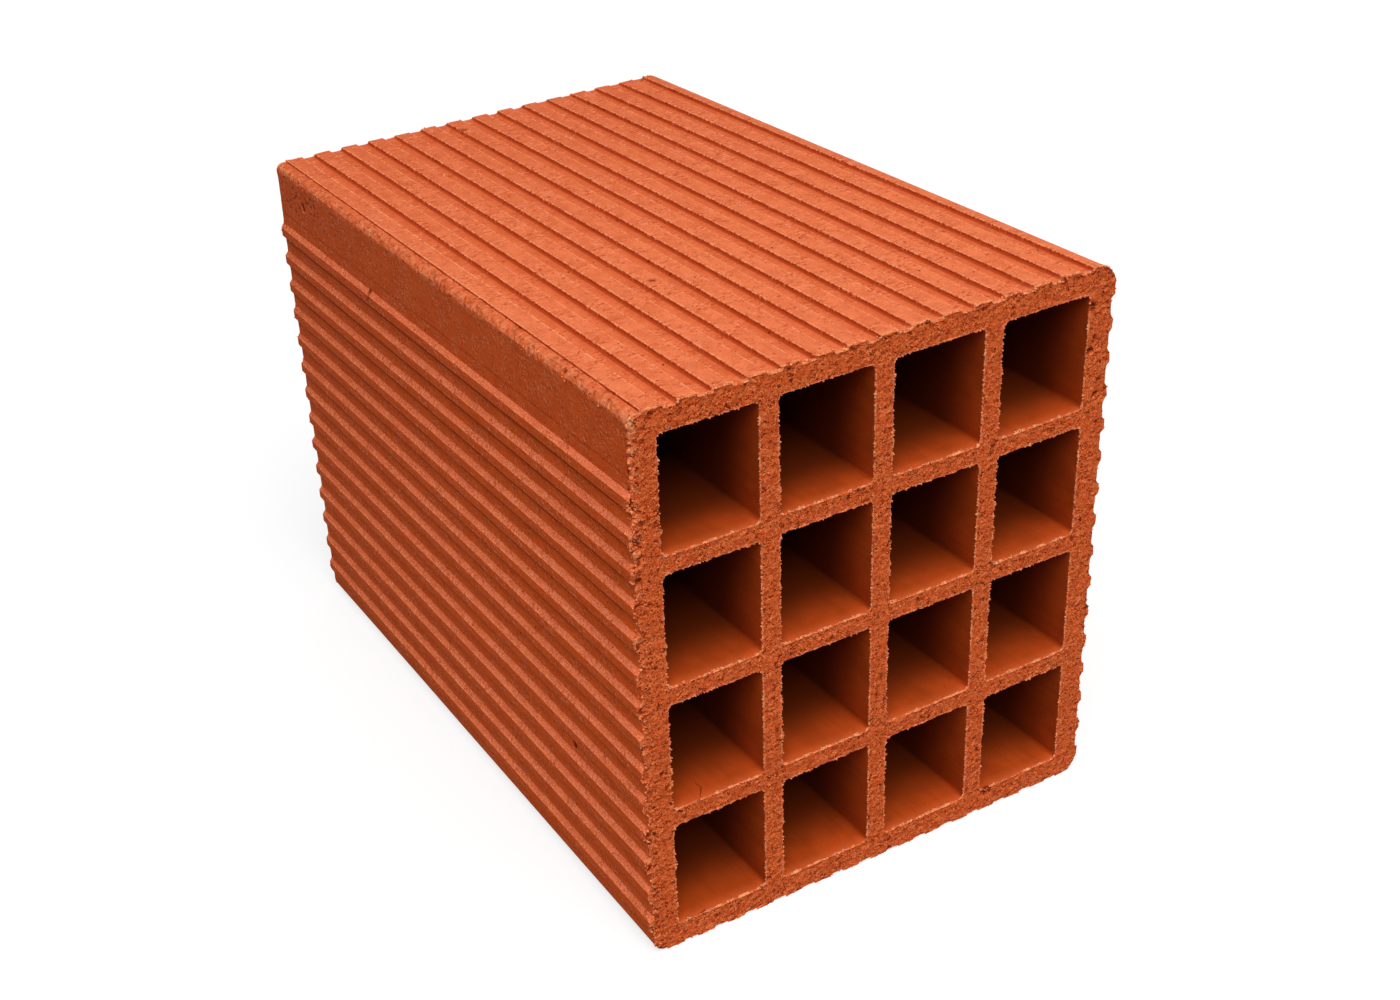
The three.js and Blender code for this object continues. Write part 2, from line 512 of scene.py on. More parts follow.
def worn(points, normals):
    """Shifts that lower the right face's ribs, and the back ends of the left face's ribs and the
    top bed's lands, some more than others."""
    x, _, z = (points / MM).T
    shifts = np.zeros_like(points)
    inner = within(RIGHT_RIBS, z)
    shifts[:, 0] = flattened(points[:, 0], CAD_HIGH.x, RIB_HEIGHT, WEAR * inner)
    at_back = np.exp((points[:, 1] - CAD_HIGH.y) / END_WEAR_REACH)
    uneven = np.clip(0.6 + 0.7 * noise(points * (1, 0, 1), 12 * MM, SEED + 30), 0, 1) * at_back
    inner = within(LEFT_RIBS, z)
    shifts[:, 0] += flattened(points[:, 0], CAD_LOW.x, -RIB_HEIGHT, END_WEAR * inner * uneven)
    inner = within(LANDS, x)
    shifts[:, 2] = flattened(points[:, 2], CAD_HIGH.z, GROOVE_DEPTH, LAND_WEAR * inner * uneven)
    return np.where(np.abs(normals[:, 1:2]) < 0.5, shifts, 0)


def boxed(points):
    """The points brought inside the frame's box."""
    return np.clip(points, np.array(CAD_LOW), np.array(CAD_HIGH))


class Clay:
    """What the wire and the kiln left at each point of the straight block: shares from 0 to 1,
    noises from about -1 to 1, and lengths in metres."""

    def __init__(self, points, normals):
        from_back = CAD_HIGH.y - points[:, 1]
        self.points, self.normals = points, normals
        self.from_front = points[:, 1] - CAD_LOW.y
        self.depth = np.minimum(self.from_front, from_back)
        self.side = np.where(self.from_front < from_back, -1.0, 1.0)
        self.on_cap = np.abs(normals[:, 1]) > 0.5
        self.on_wall = ~self.on_cap
        back = np.where(self.side > 0, BACK_EDGE, 1)
        self.edge = np.exp(-self.depth / LIP_REACH) * self.on_wall * back
        self.lip = np.hypot(normals[:, 0], normals[:, 2]) / LIP_LEAN * self.on_cap
        self.ledge = np.clip(normals[:, 2] / np.where(self.on_cap, LIP_LEAN, 1), 0, 1)
        self.inside = in_cells(points)
        self.ceiling = np.clip(-normals[:, 2], 0, 1) * self.inside
        self.bead = 0.75 * noise(points * (1, 0.6, 1), 1.7 * MM, SEED)
        self.bead += 0.7 * noise(points, 0.8 * MM, SEED + 2)
        self.lumps = noise(points, 2.1 * MM, SEED + 3, 2)
        self.teeth = noise(points, TOOTH_SIZE, SEED + 4) * 1.8
        self.crumbly = crumbly_edge(points)
        self.strip = rough_corner(points) * self.on_wall
        self.corner = arris(points, normals)
        self.chips = chip_depth(points)
        self.hollows = dents(points * (1, 0, 1), 3.4 * MM, 0.95 * MM, SEED + 5) * self.on_cap
        self.holes = dents(points, 3.4 * MM, 1.3 * MM, SEED + 7) * self.strip

    def end_rise(self):
        """How far each point moves out of its cut end."""
        grain = noise(self.points, 1.7 * MM, SEED + 9, 2) * 0.17 * MM
        wave = noise(self.points, 26 * MM, SEED + 12) * 0.14 * MM
        rise = wave + np.where(self.on_cap, grain - self.hollows * 0.6 * MM, 0)
        bead = 0.35 * np.clip(self.bead, -0.3, 1)
        rise += self.lip * (0.08 + 0.12 * self.ledge + bead) * MM
        notch = 0.35 * self.ledge * np.clip(0.6 + 1.6 * self.bead, 0, 1.2)
        rise += self.edge * (0.2 * self.bead - 0.05 - notch) * MM
        rise += self.crumbly * (0.5 * self.lumps + 0.5 * self.teeth - 0.35) * MM
        rise -= self.chips * self.on_cap
        return (rise - FACE_BACK) * np.where(self.on_cap, 1, np.exp(-self.depth / END_REACH))

    def wall_rise(self):
        """How far each point moves out of its wall."""
        slow = noise(self.points, WAVE_SIZE, SEED + 20, 2) * 0.1 * MM
        burr = self.edge * burr_share(self.points) * (1 + 0.5 * self.ledge - 0.5 * self.ceiling)
        burr *= (np.clip(self.bead, -0.5, 0.8) - 0.1) * MM
        rise = slow - SKIN_BACK + burr
        rise += self.crumbly * (0.5 * self.lumps + 0.7 * self.teeth - 0.5) * MM
        rise += self.strip * 0.14 * MM * noise(self.points, 1.8 * MM, SEED + 25, 2)
        rise += self.corner * ARRIS_GAIN
        rise -= self.holes * 0.6 * MM + self.chips
        return np.where(self.on_wall, rise, 0)

    def top_front(self):
        high = fade(*TOP_STRIP, self.points[:, 2] / MM) * self.on_wall
        return high * np.exp(-self.from_front / (1.3 * MM))

    def pale(self):
        """How pale with crumbs each point is, with painted highlights on the cell floors' lips and
        the top left edge.
        """
        fine = noise(self.points, 0.7 * MM, SEED + 8)
        torn = np.clip(0.35 * self.ledge - 0.2 + 1.5 * self.bead + fine, 0, 1)
        rim = np.exp(-self.depth / (0.4 * MM)) * self.on_wall
        mouth = self.inside * np.exp(-self.from_front / (0.25 * MM))
        mouth = mouth * np.where(self.on_cap, 0.75 * self.lip, 1)
        return np.maximum.reduce((
            # the floors' lips paler than the ceilings': painted highlight where the light from
            # above catches them, over the crumbs
            np.maximum(rim, self.lip * 0.35 * self.ledge) * torn,
            mouth * np.clip(0.6 + 0.8 * self.bead, 0.1, 1),
            np.clip(self.top_front() * (1.2 * self.lumps + 0.5), 0, 1),
            np.clip(1.3 * self.crumbly * (self.teeth - 0.1), 0, 1),
            self.strip * np.clip(self.lumps - 0.5, 0, 1) * 0.4,
            # painted highlight along the rounded top left edge
            self.corner * np.clip(0.9 * self.bead + 0.1, 0, 0.5) * self.on_wall,
        ))

    def pit(self):
        """How dark with holes each point is."""
        under_rim = fade(216.6, 217.8, self.points[:, 2] / MM) * self.on_cap
        return np.maximum.reduce((
            np.clip(self.chips / (0.7 * MM), 0, 1),
            self.hollows,
            0.6 * self.holes,
            np.clip(2.6 * self.crumbly * (-self.teeth - 0.15), 0, 1),
            np.clip(self.top_front() * (-2.5 * self.lumps - 0.7), 0, 1),
            under_rim * np.clip(-2.4 * self.bead - 0.55, 0, 1),
        ))

    def moved(self):
        """The points moved off the straight section."""
        moved = self.points + self.normals * self.wall_rise()[:, None]
        moved += worn(self.points, self.normals)
        moved[:, 1] += self.side * self.end_rise()
        return boxed(moved)


# ---- Materials ----

MIX_SHARE, MIX_UNDER, MIX_OVER = 0, 6, 7  # inputs of the Mix node for colours
MIX_RESULT = 2  # its output


class Nodes:
    """Short calls that build the nodes of a material or the world."""

    def __init__(self, owner):
        owner.use_nodes = True
        self.tree = owner.node_tree

    def feed(self, node, sockets):
        """Gives a node values or links by the names or numbers of its inputs."""
        for name, value in sockets.items():
            if isinstance(value, bpy.types.NodeSocket):
                self.tree.links.new(value, node.inputs[name])
            else:
                node.inputs[name].default_value = value
        return node

    def node(self, kind, sockets=None, **settings):
        node = self.tree.nodes.new("ShaderNode" + kind)
        for name, value in settings.items():
            setattr(node, name, value)
        return self.feed(node, sockets or {})

    def math(self, operation, *values):
        return self.node("Math", dict(enumerate(values)), operation=operation).outputs[0]

    def product(self, first, *others):
        for other in others:
            first = self.math("MULTIPLY", first, other)
        return first

    def most(self, first, *others):
        for other in others:
            first = self.math("MAXIMUM", first, other)
        return first

    def ramp(self, value, low, high, end=1.0, start=0.0, steps="SMOOTHSTEP"):
        """value carried from low..high to start..end, and clamped."""
        given = {"Value": value, "From Min": low, "From Max": high, "To Min": start, "To Max": end}
        return self.node("MapRange", given, interpolation_type=steps).outputs["Result"]

    def seen_directly(self):
        """1 for rays from the camera, a gloss or a glass, which show the background."""
        path = self.node("LightPath").outputs
        rays = ("Is Camera Ray", "Is Glossy Ray", "Is Transmission Ray")
        return self.most(*[path[name] for name in rays])


class Shader(Nodes):
    """The same for one of the clay's materials. Its colour is tinted over and over."""

    def __init__(self, name, colour):
        self.material = bpy.data.materials.new(name)
        super().__init__(self.material)
        self.colour = colour
        where = self.node("TexCoord").outputs
        self.place = self.vector("SCALE", where["Object"], scale=1 / MM)
        self.spot = self.split(self.place)  # x, y, z in millimetres
        self.turn = self.split(where["Normal"])

    def vector(self, operation, *values, scale=None):
        sockets = dict(enumerate(values))
        if scale is not None:
            sockets["Scale"] = scale
        node = self.node("VectorMath", sockets, operation=operation)
        return node.outputs["Value" if operation in ("DOT_PRODUCT", "LENGTH") else "Vector"]

    def tint(self, colour, *shares):
        """Lays that colour over what is there, as thick as the product of the shares."""
        given = {MIX_SHARE: self.product(*shares), MIX_UNDER: self.colour, MIX_OVER: colour}
        self.colour = self.node("Mix", given, data_type="RGBA").outputs[MIX_RESULT]

    def split(self, vector):
        return list(self.node("SeparateXYZ", {0: vector}).outputs)

    def attribute(self, name):
        return self.node("Attribute", attribute_name=name).outputs["Fac"]

    def texture(self, kind, grain, **given):
        """A texture's outputs. grain: the size of its lumps in millimetres, one or one an axis."""
        grains = grain if isinstance(grain, tuple) else (grain, grain, grain)
        place = self.vector("DIVIDE", self.place, grains)
        return self.node(kind, {"Vector": place, "Scale": 1.0, **given}).outputs

    def noise(self, grain, detail=2.0, roughness=0.5):
        return self.texture("TexNoise", grain, Detail=detail, Roughness=roughness)["Fac"]

    def wobble(self, grain, reach):
        """Moves the place of all later patterns by up to reach, so that their shapes tear."""
        shift = self.texture("TexNoise", grain, Detail=1.0, Roughness=0.5)["Color"]
        shift = self.vector("SUBTRACT", shift, (0.5, 0.5, 0.5))
        self.place = self.vector("ADD", self.place, self.vector("SCALE", shift, scale=2 * reach))

    def emboss(self, grain):
        """Painted light and shade: above 0 where the noise's lumps face the light, and below 0
        beyond.
        """
        here = self.noise(grain)
        kept = self.place
        self.place = self.vector("ADD", kept, LIT_SIDE)
        there = self.noise(grain)
        self.place = kept
        return self.math("SUBTRACT", here, there)

    def specks(self, grain, size):
        """1 in many scattered spots of up to that size, in grains, and 0 between them."""
        cells = self.texture("TexVoronoi", grain)
        lot = self.node("SeparateColor", {0: cells["Color"]}).outputs[0]
        reach = self.product(lot, size)
        return self.ramp(cells["Distance"], reach, self.product(reach, CRISP))

    def scar(self, start, end, width):
        """1 along a torn line from start to end, and 0 away from it."""
        run = tuple(b - a for a, b in zip(start, end))
        share = self.vector("DOT_PRODUCT", self.vector("SUBTRACT", self.place, start), run)
        share = self.ramp(share, 0.0, sum(v * v for v in run), steps="LINEAR")
        away = self.vector("SUBTRACT", self.place, self.vector("SCALE", run, scale=share))
        gap = self.vector("LENGTH", self.vector("SUBTRACT", away, start))
        return self.ramp(gap, width, width * SCAR_CORE)

    def marks(self, lines):
        """1 along any of the torn lines."""
        return self.most(0.0, *[self.scar(*line) for line in lines])

    def depth(self):
        """How far inside the nearer cut end, in millimetres."""
        return self.math("SUBTRACT", CAD_HIGH.y / MM, self.math("ABSOLUTE", self.spot[1]))

    def edge_gap(self):
        """How far from the nearer bed, in millimetres."""
        middle = (CAD_LOW.z + CAD_HIGH.z) / 2 / MM
        aside = self.math("ABSOLUTE", self.math("SUBTRACT", self.spot[2], middle))
        return self.math("SUBTRACT", CAD_HIGH.z / MM - middle, aside)

    def upright(self):
        """1 on the upright long faces and 0 on the beds and the flanks of the ribs."""
        return self.ramp(self.math("ABSOLUTE", self.turn[0]), 0.8, 0.95)

    def on_left(self):
        """1 on the upright flats of the left face."""
        return self.ramp(self.turn[0], -0.8, -0.95)

    def sloping(self):
        """1 on the flanks of the ribs."""
        lean = self.math("ABSOLUTE", self.turn[0])
        off_bed = self.ramp(self.edge_gap(), 6.0, 9.0)
        return self.product(self.ramp(lean, 0.4, 0.6), self.ramp(lean, 0.92, 0.8), off_bed)

    def tint_crumbs(self, grain):
        """Covers what carries pale crumbs and painted highlights, broken up by the fine grain."""
        self.tint(CRUMB_AND_HIGHLIGHT, self.attribute("pale"), self.ramp(grain, 0.4, 0.56, start=0.35))

    def finish(self, grain, dull, duller, height, bump):
        """Sets the surface: its colour, roughness dull to duller by the fine grain, and a bump."""
        relief = self.node("Bump", {"Distance": bump, "Height": height}).outputs["Normal"]
        given = {"Base Color": self.colour, "Normal": relief, "Specular IOR Level": GLOSS}
        given["Roughness"] = self.ramp(grain, 0.3, 0.7, duller, start=dull)
        self.feed(self.tree.nodes["Principled BSDF"], given)
        return self.material


def linear(*screen):
    """Red, green and blue as on screen, from 0 to 255, in Blender's linear values."""
    parts = [v / 255 for v in screen]
    return (*[p / 12.92 if p <= 0.04045 else ((p + 0.055) / 1.055) ** 2.4 for p in parts], 1.0)


CLAY = linear(243, 126, 79)
SIDE_SHADE = linear(234, 92, 26)
FLANK_LIGHT = linear(242, 122, 80)
GROOVE = linear(236, 116, 68)
STEP_SHADE = linear(164, 48, 2)
CLAY_CUT = linear(227, 98, 47)
PALE = linear(238, 138, 96)
DEEP = linear(186, 65, 17)
DULL = linear(184, 78, 38)
VALLEY_LIGHT = linear(250, 102, 30)
CURL_SHADE = linear(154, 43, 2)
PIT = linear(102, 16, 0)
GRAIN_AND_HIGHLIGHT = linear(252, 140, 82)
CRUMB_AND_HIGHLIGHT = linear(255, 170, 118)
CELL_CLAY = linear(193, 75, 23)
CELL_SHADE_AND_MOTTLE = linear(102, 36, 4)
CELL_MOUTH_LIGHT = linear(226, 106, 58)

GLOSS = 0.06
CRISP = 0.6  # share of a speck that is solid, inside its soft edge
SCAR_CORE = 0.4  # the same share of a torn line's width
# The rest is in millimetres.
LIT_SIDE = (-0.12, -0.28, 0.4)  # a short step towards the light
FRONT_END = CAD_LOW.y / MM
LIGHT_FALLOFF_REACH = 220.0  # where the painted falloff of light would be darkest, behind the back end
BED_STEP = 1.5  # how far the walls of the bed grooves reach from the bed
NEAR_BED = (3.0, 2.0)  # where the grooves' feet fade out, that far from the bed
RIB_CREST = (99.8, 99.4)  # where the ribs' crests give way to their flanks, along X
VALLEY_FLOOR = (-98.9, -98.5)  # where the left valleys' floors begin, along X
PLAIN_BAND = (192.0, 189.0)  # the bottom of the left face's plain band, and the highest valley
PITTED_Y = (60.0, 110.0)  # where the plain band grows pitted towards the back end
PITTED_Z = (198.0, 203.0)  # the same towards the top
CREASE_HEIGHT = 197.2  # the drag line under the plain strip of the left face
SCARS = (  # dark cracks and nicks of the long faces: start, end and width
    ((-98.3, 54, 196), (-100, 53, 188.5), 0.55),
    ((-100, 53, 188.5), (-100, 57, 187), 0.4),
    ((-100, -97, 62), (-98.3, -99, 58), 0.5),
    ((71, -143, 220), (75.5, -149, 220), 0.5),
    ((84, -140, 220), (88, -149, 220), 0.45),
)
CELL_SCARS = (  # cracks of the cell floors and their rims, given the same way
    ((-77.5, -150, 62), (-73, -144, 62), 0.35),
    ((-73, -144, 62), (-73.5, -141, 62), 0.3),
    ((33, -150, 62.5), (36, -143, 62), 0.3),
    ((-84, -150, 10), (-76, -148.6, 10), 0.4),
)
SCRATCHES = (  # pale scratches of the left face, given the same way
    ((-98.2, -68, 203), (-98.2, -75, 199.5), 0.35),
    ((-98.2, -62, 201), (-98.2, -64, 206), 0.3),
    ((-98.2, 22, 208), (-98.2, 15, 205), 0.3),
)


def tint_faces(s, strip, flank):
    """The tones of the faces, the ribs and the rough strip, with painted shade and light by how
    the faces turn, a painted falloff of light towards the back end, and darker towards the bottom."""
    side = s.upright()
    valley = s.product(s.ramp(s.spot[0], *VALLEY_FLOOR), s.ramp(s.spot[2], *PLAIN_BAND))
    # the grooves a shade darker than the lands: partly their less sandy clay, partly painted shade
    s.tint(GROOVE, s.ramp(s.edge_gap(), 0.5, 0.9))
    # painted shade: the upright faces take the deeper, more saturated tone that shade gives the
    # clay
    s.tint(SIDE_SHADE, side)
    # painted light: a brighter tone that lifts the shade on the left face's valley floors
    s.tint(VALLEY_LIGHT, valley, s.on_left())
    # painted light: the rib flanks that face up take the paler tone of the lit beds
    s.tint(FLANK_LIGHT, flank)
    # painted shade on the rib flanks that face down
    s.tint(STEP_SHADE, s.sloping(), s.ramp(s.turn[2], 0.0, -0.2), 0.5)
    # painted shade on the walls of the bed grooves
    s.tint(STEP_SHADE, side, s.ramp(s.edge_gap(), BED_STEP + 0.2, BED_STEP))
    s.tint(DEEP, strip, 0.12)
    # painted shade: a falloff of light towards the back end; the sides also darker towards the
    # bottom
    low = s.product(s.ramp(s.spot[2], 110.0, 0.0, 0.14), side)
    s.tint(DULL, s.math("ADD", s.ramp(s.spot[1], FRONT_END, LIGHT_FALLOFF_REACH, 0.5), low))


def tint_grain(s, grain, wrinkle_shading, flank):
    """Painted light and shade on the sides of the die's wrinkles, and the sand."""
    patch = s.ramp(s.noise(8.0, 1), 0.42, 0.6, start=0.25)
    # painted highlight and painted shade on the two sides of each wrinkle, which the mesh doesn't
    # have
    s.tint(PALE, s.ramp(wrinkle_shading, 0.05, 0.13), patch, 0.9)
    s.tint(DEEP, s.ramp(wrinkle_shading, -0.06, -0.14), patch, 0.8)
    s.tint(PALE, s.ramp(grain, 0.5, 0.68, 0.3))
    s.tint(DEEP, s.ramp(grain, 0.48, 0.32, 0.3))
    s.tint(PALE, s.specks(1.7, 0.26), 0.4)
    s.tint(CRUMB_AND_HIGHLIGHT, s.ramp(grain, 0.5, 0.64, 0.4), flank)
    s.tint(DEEP, s.ramp(grain, 0.45, 0.3, 0.4), flank)


def tint_lines(s, grain, wrinkle_shading):
    """The shade at the feet of the lands and under the ribs, and painted highlights on their
    edges.
    """
    foot = s.attribute("foot")
    on_bed = s.ramp(s.edge_gap(), *NEAR_BED)
    s.tint(DEEP, s.ramp(foot, 0.2, 1.0, 0.3), on_bed)
    s.tint(STEP_SHADE, s.ramp(foot, 0.91, 0.96, 0.65), on_bed)
    s.tint(STEP_SHADE, s.ramp(foot, 0.81, 0.89, 0.6), s.ramp(on_bed, 0.5, 0.4))
    # painted highlight along the edges of the lands and the top edges of the rib crests
    ridge = s.ramp(s.math("ABSOLUTE", s.attribute("ridge")), 0.88, 0.95)
    s.tint(CRUMB_AND_HIGHLIGHT, ridge, s.ramp(wrinkle_shading, -0.06, 0.06), 0.55)
    s.tint_crumbs(grain)


def skin_holes(s, strip):
    """1 in the pin holes, pitted spots, knocks and cracks of the long faces."""
    poor = s.product(s.ramp(s.spot[1], *PITTED_Y), s.ramp(s.spot[2], *PITTED_Z), 0.7, s.on_left())
    poor = s.most(poor, s.product(strip, 0.45))
    hole = s.most(s.specks(4.6, 0.12), s.product(poor, s.specks((2.4, 2.6, 1.4), 0.62)))
    return s.most(hole, s.attribute("pit"), s.marks(SCARS))


def skin_material():
    """The long faces: drawn smooth by the die, with a sandy grain, short wrinkles across the
    lands in painted light and shade, pin holes, and this brick's cracks and torn spots."""
    s = Shader("clay_die_skin", CLAY)
    mottle = s.noise((5.0, 9.0, 5.0), 3, 0.6)
    streak = s.noise((0.9, 26.0, 0.9))
    grain = s.noise(0.6, 2, 0.6)
    s.wobble(1.2, 1.2)
    # painted light and shade of the die's wrinkles
    wrinkle_shading = s.emboss((2.8, 1.4, 1.4))
    crest = s.ramp(s.math("ABSOLUTE", s.spot[0]), *RIB_CREST)
    flank = s.product(s.sloping(), s.ramp(s.turn[2], 0.0, 0.2), crest)
    strip = s.product(s.ramp(s.spot[0], -92.8, -94.5), s.ramp(s.spot[2], 214.0, 216.0))
    tint_faces(s, strip, flank)
    s.tint(DEEP, s.ramp(mottle, 0.36, 0.66, 0.0, start=0.3))
    s.tint(PALE, s.ramp(streak, 0.45, 0.75, 0.1))
    tint_grain(s, grain, wrinkle_shading, flank)
    tint_lines(s, grain, wrinkle_shading)
    # painted shade of the drag line's crease
    crease = s.math("ABSOLUTE", s.math("SUBTRACT", s.split(s.place)[2], CREASE_HEIGHT))
    s.tint(STEP_SHADE, s.ramp(crease, 0.5, 0.15), s.on_left(), 0.5)
    s.tint(CRUMB_AND_HIGHLIGHT, s.marks(SCRATCHES), 0.5)
    dark = skin_holes(s, strip)
    s.tint(PIT, dark, 0.9)
    height = s.math("MULTIPLY_ADD", grain, 0.7, s.product(streak, 0.2))
    height = s.math("MULTIPLY_ADD", dark, -1.2, height)
    return s.finish(grain, 0.82, 0.95, height, 0.3 * MM)


def cell_material():
    """The cell walls: smooth from the core rods, faintly streaked, with painted shade deeper
    inside and painted light on the floors at the mouth.
    """
    s = Shader("clay_cell_wall", CELL_CLAY)
    cloud = s.noise((11.0, 14.0, 11.0), 3)
    streak = s.noise((3.0, 60.0, 3.0), 1)
    grain = s.noise(0.6, 2, 0.6)
    # painted shade: the cells darken with depth from the cut end, and the light reaches further in
    # at the bottom cells
    gloom = s.ramp(s.spot[2], CAD_LOW.z / MM, CAD_HIGH.z / MM, 24.0, start=32.0)
    s.tint(CELL_SHADE_AND_MOTTLE, s.ramp(s.depth(), -5.0, gloom))
    s.tint(CELL_SHADE_AND_MOTTLE, s.ramp(cloud, 0.35, 0.65, 0.25))
    s.tint(CELL_SHADE_AND_MOTTLE, s.ramp(streak, 0.5, 0.7, 0.12))
    s.tint(CELL_SHADE_AND_MOTTLE, s.ramp(grain, 0.45, 0.3, 0.25))
    # painted light on the cell floors near the cut end
    s.tint(CELL_MOUTH_LIGHT, s.ramp(s.depth(), 6.0, 0.0), s.ramp(s.turn[2], 0.5, 0.9), 0.38)
    s.tint_crumbs(grain)
    s.tint(PIT, s.marks(CELL_SCARS), 0.85)
    return s.finish(grain, 0.8, 0.92, grain, 0.1 * MM)


def cut_material():
    """The wire-cut ends: sandy, torn into many small dark holes and pale grains; curls in painted
    light and shade.
    """
    s = Shader("clay_wire_cut", CLAY_CUT)
    mottle = s.noise(7.0, 3)
    grain = s.noise(0.9, 2, 0.65)
    s.wobble(0.8, 1.7)
    # painted light and shade of the torn curls
    curl_shading = s.emboss((2.1, 1.6, 1.3))
    tear = s.most(s.specks((2.0, 1.5, 1.0), 0.36), s.specks(3.4, 0.3))
    sand = s.specks((1.3, 1.6, 1.1), 0.42)
    patch = s.ramp(s.noise(5.0, 1), 0.4, 0.6, start=0.6)
    patch = s.most(patch, s.ramp(s.spot[0], -88.0, -95.0))
    s.tint(DEEP, s.ramp(mottle, 0.35, 0.65, 0.0, start=0.25))
    s.tint(GRAIN_AND_HIGHLIGHT, s.ramp(grain, 0.52, 0.7, 0.3))
    s.tint(DEEP, s.ramp(grain, 0.46, 0.3, 0.5))
    # painted highlight and painted shade on the two sides of each torn curl
    s.tint(GRAIN_AND_HIGHLIGHT, s.ramp(curl_shading, 0.045, 0.095), patch, 0.9)
    s.tint(CURL_SHADE, s.ramp(curl_shading, -0.04, -0.095), patch)
    s.tint(GRAIN_AND_HIGHLIGHT, sand, 0.55)
    dark = s.most(tear, s.attribute("pit"), s.marks(CELL_SCARS))
    s.tint_crumbs(grain)
    s.tint(PIT, dark, 0.85)
    height = s.math("MULTIPLY_ADD", sand, 0.5, grain)
    height = s.math("MULTIPLY_ADD", dark, -1.0, height)
    return s.finish(grain, 0.85, 0.96, height, 0.6 * MM)


def crumb_material():
    """Crumbs that the wire tore out: each of its own shade of the clay."""
    s = Shader("clay_crumb", CLAY_CUT)
    grain = s.noise(0.4, 1)
    s.tint(CRUMB_AND_HIGHLIGHT, s.attribute("pale"))
    s.tint(DEEP, s.ramp(grain, 0.5, 0.3, 0.35))
    return s.finish(grain, 0.85, 0.96, grain, 0.1 * MM)


# ---- The block ----

def near_front_left(points):
    return (points[:, 0] < -96 * MM) & (points[:, 1] < CAD_LOW.y + 5 * MM)


def on_rough_corner(points):
    return (points[:, 0] < -93 * MM) & (points[:, 2] > 214 * MM)


def near_chip(points):
    close = np.zeros(len(points), bool)
    for *place, radius, _ in CHIPS:
        gap = np.linalg.norm(points - np.array(place) * MM, axis=1)
        close |= gap < (1.3 * radius + 0.5) * MM
    return close


def grow_block():
    rng = np.random.default_rng(SEED)
    shell = Shell()
    front, back = [], []
    for index, loop in enumerate(section_loops(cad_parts["brick"])):
        wall = Wall(loop)
        if index == 0:
            wall.refine(0.75 * MM, near_front_left, rng)
            wall.refine(1.15 * MM, on_rough_corner, rng)
            wall.refine(0.6 * MM, near_chip, rng)
        front_rim, back_rim = wall.build(shell, CELL if index else SKIN)
        front.append(front_rim)
        back.append(back_rim)
    grow_cap(shell, front, CAD_LOW.y, FRONT_GRID, FRONT_INSET, -1.0, rng)
    grow_cap(shell, back, CAD_HIGH.y, BACK_GRID, BACK_INSET, 1.0, rng)
    return shell


def add_value(mesh, name, values):
    layer = mesh.attributes.new(name, "FLOAT", "POINT")
    layer.data.foreach_set("value", values.astype(np.float32))


def ridges(points, normals, bend):
    """Where a highlight is painted: 1 on the right edges of the lands and the top edges of the
    rib crests, -1 on the left edges of the lands."""
    gap = np.minimum(points[:, 2] - CAD_LOW.z, CAD_HIGH.z - points[:, 2])
    land = (bend > 0.2) & (gap < 0.45 * MM) & (np.abs(normals[:, 2]) > 0.3)
    land = land & (np.abs(normals[:, 0]) > 0.15)
    rib = (bend > 0.1) & (np.abs(normals[:, 0]) > 0.6) & (normals[:, 2] > 0.5) & (gap > 6 * MM)
    return np.where(land, np.sign(normals[:, 0]), rib.astype(float))


def feet(points, normals, bend):
    """1 at the foot of the lands' left walls and under the ribs, where shade gathers."""
    on_bed = np.abs(points[:, 0]) < CAD_HIGH.x - 3 * MM
    below_rib = ~on_bed & (normals[:, 2] < -0.05)
    beside_land = on_bed & (normals[:, 0] < -0.1)
    return ((bend < -0.1) & (below_rib | beside_land)).astype(float)


def hang(mesh, materials):
    """Makes an object of the mesh, by its name, that stands on the block's own body."""
    for material in materials:
        mesh.materials.append(material)
    mesh.update()
    piece = new_object(mesh.name, mesh)
    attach(piece, "root")
    return piece


def make_block():
    """Makes the block's body. Returns its clay and its points as moved."""
    shell = grow_block()
    clay = Clay(np.concatenate(shell.points), np.concatenate(shell.normals))
    bend = np.concatenate(shell.bends)
    moved = clay.moved()
    mesh = bpy.data.meshes.new("brick_body")
    mesh.from_pydata(moved.tolist(), [], np.concatenate(shell.triangles).tolist())
    mesh.polygons.foreach_set("material_index", np.concatenate(shell.materials))
    mesh.polygons.foreach_set("use_smooth", [True] * len(mesh.polygons))
    add_value(mesh, "pale", clay.pale())
    add_value(mesh, "pit", clay.pit())
    add_value(mesh, "ridge", ridges(clay.points, clay.normals, bend))
    add_value(mesh, "foot", feet(clay.points, clay.normals, bend))
    body = hang(mesh, (skin_material(), cell_material(), cut_material()))
    mesh.set_sharp_from_angle(angle=SHARP_ANGLE)
    even = body.modifiers.new("even_flats", "WEIGHTED_NORMAL")
    even.mode = "FACE_AREA"
    even.keep_sharp = True
    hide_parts("brick")
    return clay, moved


# ---- Crumbs ----

